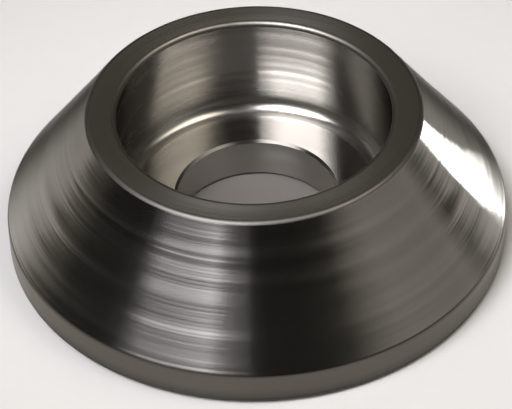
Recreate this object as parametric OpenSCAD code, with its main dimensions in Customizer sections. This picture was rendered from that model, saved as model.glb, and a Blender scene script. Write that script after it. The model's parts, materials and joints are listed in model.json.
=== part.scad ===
// Cone-shaped screw washer, turned from one piece of steel.
// A flat-floored recess takes the screw's head, and a clearance hole takes its shank.
// The origin is the centre of the base face, and the turning axis is +Z.

/* [Body] */
// Diameter of the base and of the straight land above it
base_d = 20; // [16:0.1:30]
// Height of the straight land, from the base face to the foot of the cone
land_h = 1.45; // [0.6:0.05:3]
// Width of the flat rim, from the recess wall to the top of the cone
rim_w = 1.15; // [0.6:0.05:2.5]

/* [Screw seat] */
// Diameter of the recess for the screw's head
recess_d = 10.8; // [8:0.1:16]
// Depth of the recess, from the rim down to its floor
recess_depth = 4.4; // [2.5:0.1:8]
// Thickness of the floor that the screw's head presses on
floor_t = 1.8; // [1:0.1:4]
// Diameter of the clearance hole for the screw's shank
hole_d = 6.4; // [3.2:0.1:8.4]

/* [Edges] */
// Radius that the tool's nose leaves between the recess wall and its floor
floor_fillet_r = 0.6; // [0.1:0.05:0.8]
// Radius on the recess mouth, the rim's inner edge
mouth_edge_r = 0.2; // [0.05:0.05:0.3]
// Radius on the rim's outer edge, the top of the cone
rim_edge_r = 0.25; // [0.05:0.05:0.4]
// Radius between the cone and the land
land_edge_r = 0.3; // [0.05:0.05:0.5]
// Radius on the base's outer edge
base_edge_r = 0.35; // [0.05:0.05:0.4]
// Chamfer at both ends of the clearance hole
hole_chamfer = 0.1; // [0.05:0.05:0.3]

/* [Hidden] */
$fn = 128;
steel_colour = [0.56, 0.55, 0.52];

height = floor_t + recess_depth;
recess_r = recess_d / 2;
hole_r = hole_d / 2;

// Sharp corners of the section, as radius and height, in order round its outline
hole_foot = [hole_r, 0];
base_edge = [base_d / 2, 0];
land_edge = [base_d / 2, land_h];
rim_edge = [recess_r + rim_w, height];
mouth_edge = [recess_r, height];
floor_corner = [recess_r, floor_t];
hole_mouth = [hole_r, floor_t];

// Unit vector that points from one point of the section to another
function direction(from, to) = (to - from) / norm(to - from);

// Sliver between a sharp corner and the arc that touches both of its sides
module corner_sliver(before, corner, after, radius) {
    side_1 = direction(corner, before);
    side_2 = direction(corner, after);
    half_angle = acos(side_1 * side_2) / 2;
    reach = radius / tan(half_angle);
    bisector = direction([0, 0], side_1 + side_2);
    difference() {
        polygon([corner, corner + reach * side_1, corner + reach * side_2]);
        translate(corner + bisector * radius / sin(half_angle))
            circle(radius);
    }
}

// Corner that a chamfer takes off, with sides of the given length
module corner_chamfer(before, corner, after, side) {
    polygon([
        corner,
        corner + side * direction(corner, before),
        corner + side * direction(corner, after)
    ]);
}

// Half section through the axis: edges are broken, and the recess corner is filled
module section() {
    difference() {
        union() {
            polygon([hole_foot, base_edge, land_edge, rim_edge, mouth_edge, floor_corner, hole_mouth]);
            corner_sliver(mouth_edge, floor_corner, hole_mouth, floor_fillet_r);
        }
        corner_sliver(hole_foot, base_edge, land_edge, base_edge_r);
        corner_sliver(base_edge, land_edge, rim_edge, land_edge_r);
        corner_sliver(land_edge, rim_edge, mouth_edge, rim_edge_r);
        corner_sliver(rim_edge, mouth_edge, floor_corner, mouth_edge_r);
        corner_chamfer(floor_corner, hole_mouth, hole_foot, hole_chamfer);
        corner_chamfer(hole_mouth, hole_foot, base_edge, hole_chamfer);
    }
}

// The whole washer, one turned piece
module washer() {
    color(steel_colour)
        rotate_extrude()
            section();
}

washer();
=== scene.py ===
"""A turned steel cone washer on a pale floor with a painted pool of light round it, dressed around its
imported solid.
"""

import json
import math

import bpy
import numpy as np
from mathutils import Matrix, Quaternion, Vector


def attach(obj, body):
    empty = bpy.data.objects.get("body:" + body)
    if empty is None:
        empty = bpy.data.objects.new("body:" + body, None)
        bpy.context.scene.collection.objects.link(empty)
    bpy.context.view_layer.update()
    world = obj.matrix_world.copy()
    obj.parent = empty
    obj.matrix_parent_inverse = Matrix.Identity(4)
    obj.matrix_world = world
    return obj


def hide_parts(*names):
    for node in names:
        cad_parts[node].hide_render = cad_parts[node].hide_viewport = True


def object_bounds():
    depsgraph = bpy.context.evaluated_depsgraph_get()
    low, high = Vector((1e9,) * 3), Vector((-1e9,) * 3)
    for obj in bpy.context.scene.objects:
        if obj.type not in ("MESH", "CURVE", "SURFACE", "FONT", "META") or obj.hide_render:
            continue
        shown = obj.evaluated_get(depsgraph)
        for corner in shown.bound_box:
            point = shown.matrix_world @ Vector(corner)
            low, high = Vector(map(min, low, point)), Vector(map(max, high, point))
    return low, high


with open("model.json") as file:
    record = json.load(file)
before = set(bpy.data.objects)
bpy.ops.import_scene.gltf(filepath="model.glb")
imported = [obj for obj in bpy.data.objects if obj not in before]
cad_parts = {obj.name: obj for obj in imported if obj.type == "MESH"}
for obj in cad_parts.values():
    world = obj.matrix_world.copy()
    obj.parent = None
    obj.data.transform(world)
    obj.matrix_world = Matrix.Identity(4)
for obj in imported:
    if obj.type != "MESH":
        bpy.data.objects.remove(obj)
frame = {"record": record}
cad_low, cad_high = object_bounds()

MM = 0.001

# Sizes of the section in millimetres, from the frame where it states them
mounts = {mount["name"]: mount for mount in frame["record"]["mounts"]}
BASE_R = cad_high.x / MM
HEIGHT = cad_high.z / MM
HOLE_R = mounts["screw_hole"]["dims"]["r_mm"]
RECESS_R = mounts["head_recess"]["dims"]["r_mm"]
FLOOR_T = mounts["head_seat"]["pos_m"][2] / MM
LAND_H = 1.45
RIM_W = 1.15
FLOOR_FILLET_R = 0.6
MOUTH_EDGE_R = 0.2
RIM_EDGE_R = 0.25
LAND_EDGE_R = 0.3
BASE_EDGE_R = 0.35
HOLE_CHAMFER = 0.1
CHAMFER_EDGE_R = 0.03

# Camera, fitted to the circles of the photograph: angles in degrees, lengths in millimetres
CAMERA_ELEVATION = 41.97
CAMERA_DISTANCE = 112.7
CAMERA_LENS = 197.2
CAMERA_AIM = (-0.035, 0.0, 1.195)
CAMERA_ROLL = -1.78
CAMERA_CLIP = (5.0, 5000.0)
SENSOR_W = 36.0

# Mesh: faces round the axis, and rows in the arc of each edge
SEGMENTS = 192
ARC_STEPS = 7

# Tool lines: range of the random ones' widths, how much a line's height changes round the axis,
# and the run over which the lines fade out at the ends of a stretch
LINE_WIDTHS = (0.05, 0.20)
LINE_UNEVEN = 0.25
LINE_FADE = 0.15

# Noise of the finish: short dashes among the fine lines, and broad bands of tone and gloss
DASHES_PER_LINE = 2.5
DASH_SHARE = 0.1
LINES_PER_BAND = 6
BAND_RANGE = (0.3, 0.7)

# Tint of reflections at flat angles, and the turn that lays the grain along the tool lines
GRAZING_TINT = (1.0, 0.97, 0.93)
QUARTER_TURN = 0.25

# Tones of the steel, from the brightest stretch to the dark foot
LIGHT = (0.695, 0.685, 0.655, 1.0)
PALE = (0.635, 0.625, 0.595, 1.0)
MEDIUM = (0.54, 0.528, 0.50, 1.0)
DEEP = (0.45, 0.44, 0.415, 1.0)
SOFT = (0.42, 0.41, 0.385, 1.0)
HALF_WORN = (0.288, 0.276, 0.252, 1.0)
WORN = (0.18, 0.174, 0.162, 1.0)
# Painted shade: the land's tone, darkened for the shaded floor that the land mirrors
LAND_PAINTED_SHADE = (0.126, 0.115, 0.102, 1.0)
# Painted contact shade: the tone of the foot edges and of the lowest part of the land
CONTACT_SHADE = (0.06, 0.058, 0.053, 1.0)

# Share of the unshaded tone at the floor: below zero, so that the lowest part is all painted shade
UNSHADED_AT_FLOOR = -0.4

# Floor: its tones, with a painted pool of light round the washer that fades to grey far from it and painted
# shade under it, the radii in millimetres between which they blend, half the sheet's width in millimetres,
# and the fineness of its grain
FLOOR_POOL_TONES = ((0.75, 0.75, 0.74, 1.0), (0.78, 0.78, 0.77, 1.0))
FLOOR_PAST_POOL = (0.39, 0.376, 0.35, 1.0)
FLOOR_SHADE_UNDER = (0.18, 0.17, 0.161, 1.0)
FLOOR_POOL_FADE = (10.0, 42.0)
FLOOR_SHADE_BLEND = (4.0, 8.0)
FLOOR_HALF_WIDTH = 1500.0
FLOOR_GRAIN_SCALE = 900.0

# Lamps: their tints, the panels' distance from the washer, and the share of the floor card's length
# over which its light comes up
COOL = (1.0, 0.97, 1.0)
WARM = (1.0, 0.925, 0.82)
WHITE = (1.0, 1.0, 1.0)
PANEL_DISTANCE = 500 * MM
CARD_FADE = 0.06

# Dim surroundings in front and behind, and how far back the one has become the other
WORLD_FRONT = (0.0125, 0.0117, 0.010, 1.0)
WORLD_BACK = (0.0583, 0.0533, 0.0425, 1.0)
WORLD_TURN = 0.32

# Stronger lines on the cone: place along it from the land, width and rise, in millimetres.
# The last one is a slight hollow over the whole cone.
CONE_LINES = [
    (0.45, 0.08, -0.001),
    (0.90, 0.12, 0.002),
    (1.35, 0.04, -0.001),
    (1.50, 0.10, -0.002),
    (2.02, 0.05, -0.001),
    (2.26, 0.04, -0.0015),
    (2.42, 0.04, -0.0015),
    (2.60, 0.34, 0.015),
    (3.36, 0.05, -0.002),
    (3.58, 0.04, -0.0012),
    (3.70, 0.08, 0.002),
    (3.98, 0.05, -0.0015),
    (4.31, 0.07, -0.0035),
    (2.94, 2.00, -0.030),
]

# Each stretch of the section: spacing of its rows and of its random tool lines in millimetres,
# the slope of those lines in degrees, and its own lines
STRETCHES = {
    "base": {"row": 0.14, "spacing": 0.45, "slope": 0.4},
    "land": {"row": 0.07, "spacing": 0.30, "slope": 0.3},
    "cone": {"row": 0.030, "spacing": 0.08, "slope": 0.45, "lines": CONE_LINES},
    "rim": {"row": 0.05, "spacing": 0.20, "slope": 0.4},
    "wall": {"row": 0.030, "spacing": 0.07, "slope": 1.2},
    "floor": {"row": 0.06, "spacing": 0.25, "slope": 0.2},
    "hole": {"row": 0.08, "spacing": 0.30, "slope": 0.3},
    "foot": {"row": 0.05, "spacing": 1.0, "slope": 0.0},
    "hole_edge": {"row": 0.05, "spacing": 1.0, "slope": 0.0},
}


def section_corners():
    """Corners of the half section in order: radius, height, edge radius, finish of edge and next stretch."""
    return [
        (HOLE_R + HOLE_CHAMFER, 0.0, CHAMFER_EDGE_R, "foot", "base"),
        (BASE_R, 0.0, BASE_EDGE_R, "foot", "land"),
        (BASE_R, LAND_H, LAND_EDGE_R, "land", "cone"),
        (RECESS_R + RIM_W, HEIGHT, RIM_EDGE_R, "rim_edge", "rim"),
        (RECESS_R, HEIGHT, MOUTH_EDGE_R, "mouth_edge", "wall"),
        (RECESS_R, FLOOR_T, FLOOR_FILLET_R, "corner", "floor"),
        (HOLE_R + HOLE_CHAMFER, FLOOR_T, CHAMFER_EDGE_R, "hole_edge", "hole_edge"),
        (HOLE_R, FLOOR_T - HOLE_CHAMFER, CHAMFER_EDGE_R, "hole", "hole"),
        (HOLE_R, HOLE_CHAMFER, CHAMFER_EDGE_R, "foot", "foot"),
    ]


def unit(vector):
    """The vector at length 1."""
    return vector / np.linalg.norm(vector)


def corner_arc(before, corner, after, radius):
    """Points of the arc that touches both sides of a corner, from one side to the other."""
    side_1 = unit(before - corner)
    side_2 = unit(after - corner)
    half_angle = math.acos(float(np.clip(side_1 @ side_2, -1, 1))) / 2
    centre = corner + unit(side_1 + side_2) * radius / math.sin(half_angle)
    reach = radius / math.tan(half_angle)
    start = corner + reach * side_1 - centre
    end = corner + reach * side_2 - centre
    turn = math.atan2(start[0] * end[1] - start[1] * end[0], float(start @ end))
    angles = np.linspace(0, turn, ARC_STEPS + 1)
    return [
        centre + np.array([
            start[0] * math.cos(a) - start[1] * math.sin(a),
            start[0] * math.sin(a) + start[1] * math.cos(a),
        ])
        for a in angles
    ]


def tool_lines(along, length, angles, finish, seed):
    """Depth of the turned lines at each place along a stretch and each angle round the axis."""
    rng = np.random.default_rng(seed)
    depth = np.zeros((len(along), len(angles)))
    lines = list(finish.get("lines", []))
    for _ in range(round(length / finish["spacing"])):
        width = rng.uniform(*LINE_WIDTHS)
        place = rng.uniform(0, length)
        lines.append((place, width, width * math.radians(finish["slope"]) * rng.normal()))
    for place, width, rise in lines:
        lobes = rng.integers(1, 4)
        phase = rng.uniform(0, 2 * math.pi)
        shape = np.exp(-((along - place) / width) ** 2)
        fading = 1 - LINE_UNEVEN + LINE_UNEVEN * np.cos(lobes * angles + phase)
        depth += rise * shape[:, None] * fading[None, :]
    ends = np.clip(np.minimum(along, length - along) / LINE_FADE, 0, 1)
    return depth * (ends * ends * (3 - 2 * ends))[:, None]


def section_rows(angles):
    """Rows of the turned surface: radius and height at each angle, length along, and finish."""
    corners = section_corners()
    points = [np.array(c[:2]) for c in corners]
    count = len(corners)
    arcs = [
        corner_arc(points[i - 1], points[i], points[(i + 1) % count], corners[i][2])
        for i in range(count)
    ]
    radii, heights, lengths, finishes = [], [], [], []
    travelled = 0.0
    for i in range(count):
        arc = np.array(arcs[i])
        steps = np.linalg.norm(np.diff(arc, axis=0), axis=1)
        for k in range(len(arc) - 1):
            radii.append(np.full(len(angles), arc[k, 0]))
            heights.append(np.full(len(angles), arc[k, 1]))
            lengths.append(travelled)
            finishes.append(corners[i][3])
            travelled += steps[k]
        start, end = arc[-1], np.array(arcs[(i + 1) % count][0])
        name = corners[i][4]
        finish = STRETCHES[name]
        length = float(np.linalg.norm(end - start))
        along = np.linspace(0, length, max(2, math.ceil(length / finish["row"])) + 1)[:-1]
        direction = (end - start) / length
        normal = np.array([direction[1], -direction[0]])
        depth = tool_lines(along, length, angles, finish, seed=i)
        for k, s in enumerate(along):
            place = start + direction * s
            radii.append(place[0] + normal[0] * depth[k])
            heights.append(place[1] + normal[1] * depth[k])
            lengths.append(travelled + s)
            finishes.append(name)
        travelled += length
    return np.array(radii), np.array(heights), np.array(lengths), finishes, travelled


def turned_mesh(name, materials):
    """The section turned round the axis, with a smooth face grid and a map for each face."""
    angles = np.linspace(0, 2 * math.pi, SEGMENTS, endpoint=False) + math.pi / 2
    radii, heights, lengths, finishes, total = section_rows(angles)
    rows = len(lengths)
    xyz = np.stack([radii * np.cos(angles), radii * np.sin(angles), heights], axis=-1) * MM
    row, column = np.meshgrid(np.arange(rows), np.arange(SEGMENTS), indexing="ij")
    next_row = (row + 1) % rows
    next_column = (column + 1) % SEGMENTS
    quads = np.stack([
        row * SEGMENTS + column,
        row * SEGMENTS + next_column,
        next_row * SEGMENTS + next_column,
        next_row * SEGMENTS + column,
    ], axis=-1).reshape(-1, 4)

    mesh = bpy.data.meshes.new(name)
    mesh.from_pydata(xyz.reshape(-1, 3).tolist(), [], quads.tolist())
    slots = {finish: k for k, finish in enumerate(materials)}
    for material in materials.values():
        mesh.materials.append(material)
    face_slots = np.repeat([slots[finish] for finish in finishes], SEGMENTS)
    mesh.polygons.foreach_set("material_index", face_slots.astype(np.int32))
    mesh.polygons.foreach_set("use_smooth", np.ones(len(quads), bool))

    along = mesh.attributes.new("along", "FLOAT", "POINT")
    along.data.foreach_set("value", np.repeat(lengths, SEGMENTS).astype(np.float32))

    ends = np.append(lengths[1:], total)
    low, high = (lengths / total)[row], (ends / total)[row]
    left, right = column / SEGMENTS, (column + 1) / SEGMENTS
    corners = [(left, low), (right, low), (right, high), (left, high)]
    uv = np.stack([np.stack(corner, axis=-1) for corner in corners], axis=2)
    layer = mesh.uv_layers.new(name="OFBake", do_init=False)
    layer.uv.foreach_set("vector", uv.reshape(-1).astype(np.float32))
    mesh.update()
    return mesh


def new_material(name):
    """A material with an empty node tree."""
    material = bpy.data.materials.new(name)
    material.use_nodes = True
    material.node_tree.nodes.clear()
    return material, material.node_tree


def add_node(tree, kind, inputs=None, **settings):
    """A node with its settings, and with each input set to a value or linked to a socket."""
    node = tree.nodes.new(kind)
    for key, value in settings.items():
        setattr(node, key, value)
    for key, value in (inputs or {}).items():
        if isinstance(value, bpy.types.NodeSocket):
            tree.links.new(value, node.inputs[key])
        else:
            node.inputs[key].default_value = value
    return node


def turned_steel(name, tones, gloss, lines_per_mm, line_height, grain=1.0, grazing=1.0, shade_to_mm=0.0):
    """Bright steel with fine lines round the axis: their tone, gloss and relief vary from line to line.

    Tones and gloss give the darkest and lightest colour, and the least and most roughness.
    Grain is how far the lines draw reflections out, and grazing the share left at flat angles.
    The last argument is the height in millimetres up to which painted shade darkens the tone towards the
    floor.
    """
    material, tree = new_material(name)
    place = add_node(tree, "ShaderNodeTexCoord").outputs["Object"]
    along = add_node(tree, "ShaderNodeAttribute", attribute_name="along").outputs["Fac"]
    flat = add_node(tree, "ShaderNodeVectorMath", {0: place, 1: (1.0, 1.0, 0.0)}, operation="MULTIPLY")
    around = add_node(tree, "ShaderNodeVectorMath", {0: flat.outputs[0]}, operation="NORMALIZE")

    def lines(per_mm, spread, detail):
        """Noise drawn out round the axis: spread is how fast a line changes along its own length."""
        turn = add_node(
            tree, "ShaderNodeVectorMath", {0: around.outputs[0], "Scale": spread}, operation="SCALE"
        )
        step = add_node(tree, "ShaderNodeMath", {0: along, 1: per_mm}, operation="MULTIPLY")
        lift = add_node(tree, "ShaderNodeCombineXYZ", {"Z": step.outputs[0]})
        where = add_node(
            tree, "ShaderNodeVectorMath", {0: turn.outputs[0], 1: lift.outputs[0]}, operation="ADD"
        )
        noise = add_node(
            tree, "ShaderNodeTexNoise", {"Vector": where.outputs[0], "Scale": 1.0, "Detail": detail}
        )
        return noise.outputs["Fac"]

    drawn = lines(lines_per_mm, spread=0.35, detail=3.0)
    dashes = lines(DASHES_PER_LINE * lines_per_mm, spread=9.0, detail=1.0)
    fine = add_node(
        tree, "ShaderNodeMath", {0: dashes, 1: DASH_SHARE, 2: drawn}, operation="MULTIPLY_ADD"
    )
    broad = lines(lines_per_mm / LINES_PER_BAND, spread=0.5, detail=2.0)

    tone = add_node(
        tree, "ShaderNodeMix", {"Factor": broad, "A": tones[0], "B": tones[1]}, data_type="RGBA"
    )
    # Painted contact shade: the tone darkens towards the floor up to the given height
    if shade_to_mm:
        parts = add_node(tree, "ShaderNodeSeparateXYZ", {"Vector": place})
        unshaded = add_node(
            tree, "ShaderNodeMapRange",
            {"Value": parts.outputs["Z"], "From Max": shade_to_mm * MM, "To Min": UNSHADED_AT_FLOOR},
        )
        tone = add_node(
            tree, "ShaderNodeMix",
            {"Factor": unshaded.outputs["Result"], "A": CONTACT_SHADE, "B": tone.outputs["Result"]},
            data_type="RGBA",
        )
    roughness = add_node(
        tree, "ShaderNodeMapRange",
        {
            "Value": broad,
            "From Min": BAND_RANGE[0],
            "From Max": BAND_RANGE[1],
            "To Min": gloss[0],
            "To Max": gloss[1],
        },
    )
    relief = add_node(
        tree, "ShaderNodeBump",
        {"Height": fine.outputs[0], "Strength": 1.0, "Distance": line_height * MM},
    )
    tangent = add_node(tree, "ShaderNodeTangent", direction_type="RADIAL", axis="Z")
    shader = add_node(
        tree, "ShaderNodeBsdfPrincipled",
        {
            "Base Color": tone.outputs["Result"],
            "Metallic": 1.0,
            "Roughness": roughness.outputs["Result"],
            "Specular Tint": (*(grazing * part for part in GRAZING_TINT), 1.0),
            "Anisotropic": grain,
            "Anisotropic Rotation": QUARTER_TURN,
            "Normal": relief.outputs["Normal"],
            "Tangent": tangent.outputs["Tangent"],
        },
    )
    output = add_node(tree, "ShaderNodeOutputMaterial")
    tree.links.new(shader.outputs["BSDF"], output.inputs["Surface"])
    return material


def edge_steel(name, tone, gloss, grain):
    """The steel of a broken edge: one tone, with hardly any relief."""
    return turned_steel(name, (tone, tone), gloss, lines_per_mm=10.0, line_height=0.0003, grain=grain)


def steel_finishes():
    """A material for each stretch and edge: its tones, gloss, fine lines per millimetre and their height."""
    body = (MEDIUM, LIGHT)
    inside = (DEEP, MEDIUM)
    return {
        "base": turned_steel("steel_base", body, (0.22, 0.28), 9.0, 0.0006),
        # Painted shade: the land's tone is darkened for the shaded floor it mirrors, with painted contact
        # shade over its lowest 0.75 mm
        "land": turned_steel("steel_land", (LAND_PAINTED_SHADE, LAND_PAINTED_SHADE), (0.19, 0.25), 10.0, 0.0005, shade_to_mm=0.75),
        "cone": turned_steel("steel_cone", body, (0.10, 0.14), 15.0, 0.0016, grazing=0.1),
        "rim": turned_steel("steel_rim", (PALE, LIGHT), (0.25, 0.31), 12.0, 0.0006, grain=0.7),
        "wall": turned_steel("steel_wall", inside, (0.23, 0.28), 14.0, 0.0014, grazing=0.05),
        "floor": turned_steel("steel_floor", (PALE, PALE), (0.10, 0.14), 10.0, 0.0004),
        "hole": turned_steel("steel_hole", inside, (0.20, 0.26), 9.0, 0.0005),
        "rim_edge": edge_steel("steel_rim_edge", WORN, (0.42, 0.48), 0.0),
        "mouth_edge": edge_steel("steel_mouth_edge", HALF_WORN, (0.36, 0.42), 0.0),
        "hole_edge": edge_steel("steel_hole_edge", HALF_WORN, (0.30, 0.36), 1.0),
        "corner": edge_steel("steel_corner", SOFT, (0.22, 0.28), 0.5),
        # Painted contact shade on the base's outer edge and on the hole's foot chamfer
        "foot": edge_steel("steel_foot", CONTACT_SHADE, (0.30, 0.36), 1.0),
    }


def make_washer():
    """The dressed washer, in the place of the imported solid."""
    mesh = turned_mesh("turned_washer", steel_finishes())
    washer = bpy.data.objects.new("turned_washer", mesh)
    bpy.context.scene.collection.objects.link(washer)
    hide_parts("washer")
    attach(washer, "root")


def make_floor():
    """A pale sheet with a painted pool of light that falls off gently to grey away from the washer, and
    painted shade under it.
    """
    material, tree = new_material("pale_floor")
    place = add_node(tree, "ShaderNodeTexCoord").outputs["Object"]
    grain = add_node(
        tree, "ShaderNodeTexNoise", {"Vector": place, "Scale": FLOOR_GRAIN_SCALE, "Detail": 4.0}
    )
    reach = add_node(tree, "ShaderNodeVectorMath", {0: place}, operation="LENGTH")

    def blend(factor, inner, outer):
        mix = add_node(
            tree, "ShaderNodeMix", {"Factor": factor, "A": inner, "B": outer}, data_type="RGBA"
        )
        return mix.outputs["Result"]

    def outside(radii):
        """Share that grows from 0 to 1 between two distances from the axis."""
        share = add_node(
            tree, "ShaderNodeMapRange",
            {"Value": reach.outputs["Value"], "From Min": radii[0] * MM, "From Max": radii[1] * MM},
            interpolation_type="SMOOTHSTEP",
        )
        return share.outputs["Result"]

    # Painted pool of light: pale round the washer, fading to grey far from it
    near = blend(grain.outputs["Fac"], *FLOOR_POOL_TONES)
    pooled_floor = blend(outside(FLOOR_POOL_FADE), near, FLOOR_PAST_POOL)
    # Painted shade on the floor under the washer, seen through the hole
    tone = blend(outside(FLOOR_SHADE_BLEND), FLOOR_SHADE_UNDER, pooled_floor)
    shader = add_node(
        tree, "ShaderNodeBsdfPrincipled",
        {"Base Color": tone, "Roughness": 0.9, "Specular IOR Level": 0.1},
    )
    output = add_node(tree, "ShaderNodeOutputMaterial")
    tree.links.new(shader.outputs["BSDF"], output.inputs["Surface"])
    half = FLOOR_HALF_WIDTH * MM
    mesh = bpy.data.meshes.new("floor")
    mesh.from_pydata(
        [(-half, -half, 0), (half, -half, 0), (half, half, 0), (-half, half, 0)], [], [(0, 1, 2, 3)]
    )
    mesh.materials.append(material)
    floor = bpy.data.objects.new("floor", mesh)
    bpy.context.scene.collection.objects.link(floor)


def direction_to(azimuth, elevation):
    """Unit vector out of the object: azimuth 0 is the camera's side, and it grows to the right."""
    a, e = math.radians(azimuth), math.radians(elevation)
    return Vector((math.sin(a) * math.cos(e), -math.cos(a) * math.cos(e), math.sin(e)))


def add_panel(name, place, turn, size, colour, strength):
    """A soft panel of the given radiance, or of the radiance that the given node function builds."""
    lamp = bpy.data.lights.new(name, "AREA")
    lamp.shape = "RECTANGLE"
    lamp.size, lamp.size_y = size
    lamp.color = colour
    # At this power the radiance is the strength of the emission node
    lamp.energy = 4 * lamp.size * lamp.size_y
    lamp.use_nodes = True
    tree = lamp.node_tree
    emission = tree.nodes["Emission"]
    if callable(strength):
        tree.links.new(strength(tree), emission.inputs["Strength"])
    else:
        emission.inputs["Strength"].default_value = strength
    holder = bpy.data.objects.new(name, lamp)
    holder.location = place
    holder.rotation_mode = "QUATERNION"
    holder.rotation_quaternion = turn
    holder.visible_camera = False
    bpy.context.scene.collection.objects.link(holder)


def upright_softbox(name, colour, azimuths, elevations, radiances, foot, full, left_side, right_side):
    """An upright panel, so that its side edges keep one azimuth at any height.

    Its light grows from the first radiance at the foot elevation to the second at the full one.
    Each side gives the azimuth where it starts, and the foot elevation and share of light at the edge.
    """
    left, right = azimuths
    middle = (left + right) / 2
    half_width = PANEL_DISTANCE * math.tan(math.radians(right - left) / 2)
    bottom, top = (PANEL_DISTANCE * math.tan(math.radians(e)) for e in elevations)
    out = direction_to(middle, 0)

    def across(azimuth):
        """Place of an azimuth across the panel, from 0 to 1."""
        return 0.5 + PANEL_DISTANCE * math.tan(math.radians(azimuth - middle)) / (2 * half_width)

    def up(azimuth, elevation):
        """Place of an elevation up the panel at an azimuth, from 0 to 1."""
        reach = PANEL_DISTANCE / math.cos(math.radians(azimuth - middle))
        return (reach * math.tan(math.radians(elevation)) - bottom) / (top - bottom)

    def strength(tree):
        """Nodes that give the radiance at each place on the panel."""
        spot = add_node(tree, "ShaderNodeTexCoord").outputs["UV"]
        parts = add_node(tree, "ShaderNodeSeparateXYZ", {"Vector": spot})

        def side(edge, start, edge_value, value):
            """A value that changes smoothly from the start azimuth to the panel's edge."""
            ramp = add_node(
                tree, "ShaderNodeMapRange",
                {
                    "Value": parts.outputs["X"],
                    "From Min": across(edge),
                    "From Max": across(start),
                    "To Min": edge_value,
                    "To Max": value,
                },
                interpolation_type="SMOOTHSTEP",
            )
            return ramp.outputs["Result"]

        def combine(operation, a, b):
            return add_node(tree, "ShaderNodeMath", {0: a, 1: b}, operation=operation).outputs[0]

        level_foot = up(middle, foot)
        foot_left = side(left, left_side[0], up(left, left_side[1]), level_foot)
        foot_right = side(right, right_side[0], up(right, right_side[1]) - level_foot, 0.0)
        rise = add_node(
            tree, "ShaderNodeMapRange",
            {
                "Value": parts.outputs["Y"],
                "From Min": combine("ADD", foot_left, foot_right),
                "From Max": up(middle, full),
                "To Min": radiances[0],
                "To Max": radiances[1],
            },
            interpolation_type="SMOOTHSTEP",
        )
        share_left = side(left, left_side[0], left_side[2], 1.0)
        share_right = side(right, right_side[0], right_side[2], 1.0)
        share = combine("MULTIPLY", share_left, share_right)
        return combine("MULTIPLY", rise.outputs["Result"], share)

    place = out * PANEL_DISTANCE + Vector((0, 0, (bottom + top) / 2))
    add_panel(name, place, out.to_track_quat("Z", "Y"), (2 * half_width, top - bottom), colour, strength)


def overhead_softbox(name, azimuth, elevation, half_angle, radiance, colour):
    """A square panel that faces the object from above."""
    out = direction_to(azimuth, elevation)
    side = 2 * PANEL_DISTANCE * math.tan(math.radians(half_angle))
    add_panel(name, out * PANEL_DISTANCE, out.to_track_quat("Z", "Y"), (side, side), colour, radiance)


def floor_card(name, middle, azimuth, length, widths, radiance, colour):
    """A bright card that lies on the floor and faces up: it widens along the azimuth."""

    def strength(tree):
        """Nodes that give the radiance at each place on the panel."""
        spot = add_node(tree, "ShaderNodeTexCoord").outputs["UV"]
        parts = add_node(tree, "ShaderNodeSeparateXYZ", {"Vector": spot})
        half = add_node(
            tree, "ShaderNodeMapRange",
            {"Value": parts.outputs["X"], "To Min": widths[0] / widths[1] / 2, "To Max": 0.5},
        )
        inside = add_node(
            tree, "ShaderNodeMath",
            {0: parts.outputs["Y"], 1: 0.5, 2: half.outputs["Result"]},
            operation="COMPARE",
        )
        near = add_node(
            tree, "ShaderNodeMapRange",
            {"Value": parts.outputs["X"], "From Max": CARD_FADE, "To Max": radiance},
            interpolation_type="SMOOTHSTEP",
        )
        level = add_node(
            tree, "ShaderNodeMath",
            {0: inside.outputs[0], 1: near.outputs["Result"]},
            operation="MULTIPLY",
        )
        return level.outputs[0]

    turn = Quaternion((0, 0, 1), math.radians(azimuth - 90)) @ Quaternion((1, 0, 0), math.pi)
    add_panel(name, Vector(middle) * MM, turn, (length * MM, widths[1] * MM), colour, strength)


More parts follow.
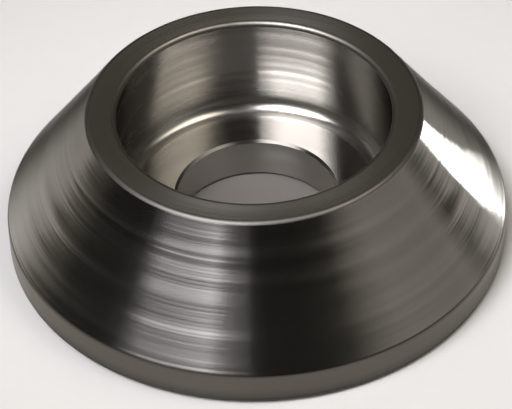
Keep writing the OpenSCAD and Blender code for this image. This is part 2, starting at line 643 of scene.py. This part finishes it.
def light_studio():
    """Three upright panels, a card on the floor, a panel overhead and dim surroundings."""
    upright_softbox(
        "left_softbox", COOL, azimuths=(-62.5, -5.5), elevations=(20, 76),
        radiances=(0.021, 7.85), foot=23.5, full=56,
        left_side=(-52, 25.5, 1.0), right_side=(-26, 41, 0.4),
    )
    upright_softbox(
        "left_wing", COOL, azimuths=(-77, -62.5), elevations=(36, 76),
        radiances=(0.333, 7.85), foot=36, full=56,
        left_side=(-70, 36, 0.8), right_side=(-64, 36, 1.0),
    )
    upright_softbox(
        "right_fill", WARM, azimuths=(36, 106), elevations=(3, 74),
        radiances=(0.146, 3.42), foot=33, full=60,
        left_side=(66, 33, 0.0), right_side=(96, 33, 0.3),
    )
    floor_card(
        "floor_card", middle=(42.3, 25.6, 0.2), azimuth=125.8, length=72, widths=(4.4, 13.6),
        radiance=3.35, colour=WHITE,
    )
    overhead_softbox(
        "overhead_softbox", azimuth=180, elevation=88, half_angle=10, radiance=0.21, colour=COOL
    )
    make_world()


def make_world():
    """Dim surroundings, darker on the camera's side than behind the object."""
    world = bpy.data.worlds.new("studio")
    world.use_nodes = True
    tree = world.node_tree
    way = add_node(tree, "ShaderNodeTexCoord").outputs["Generated"]
    parts = add_node(tree, "ShaderNodeSeparateXYZ", {"Vector": way})
    behind = add_node(
        tree, "ShaderNodeMapRange",
        {"Value": parts.outputs["Y"], "From Min": 0.0, "From Max": WORLD_TURN},
        interpolation_type="SMOOTHSTEP",
    )
    tone = add_node(
        tree, "ShaderNodeMix",
        {"Factor": behind.outputs["Result"], "A": WORLD_FRONT, "B": WORLD_BACK},
        data_type="RGBA",
    )
    tree.links.new(tone.outputs["Result"], tree.nodes["Background"].inputs["Color"])
    bpy.context.scene.world = world


def make_camera():
    """The camera of the photograph."""
    camera = bpy.data.cameras.new("camera")
    camera.sensor_width = SENSOR_W
    camera.lens = CAMERA_LENS
    camera.clip_start = CAMERA_CLIP[0] * MM
    camera.clip_end = CAMERA_CLIP[1] * MM
    holder = bpy.data.objects.new("camera", camera)
    back = direction_to(0, CAMERA_ELEVATION)
    holder.location = Vector(CAMERA_AIM) * MM + back * CAMERA_DISTANCE * MM
    holder.rotation_mode = "QUATERNION"
    roll = Quaternion((0, 0, 1), math.radians(CAMERA_ROLL))
    holder.rotation_quaternion = (-back).to_track_quat("-Z", "Y") @ roll
    bpy.context.scene.collection.objects.link(holder)
    bpy.context.scene.camera = holder


make_camera()
make_washer()
make_floor()
light_studio()
bpy.context.scene.view_settings.view_transform = "Standard"
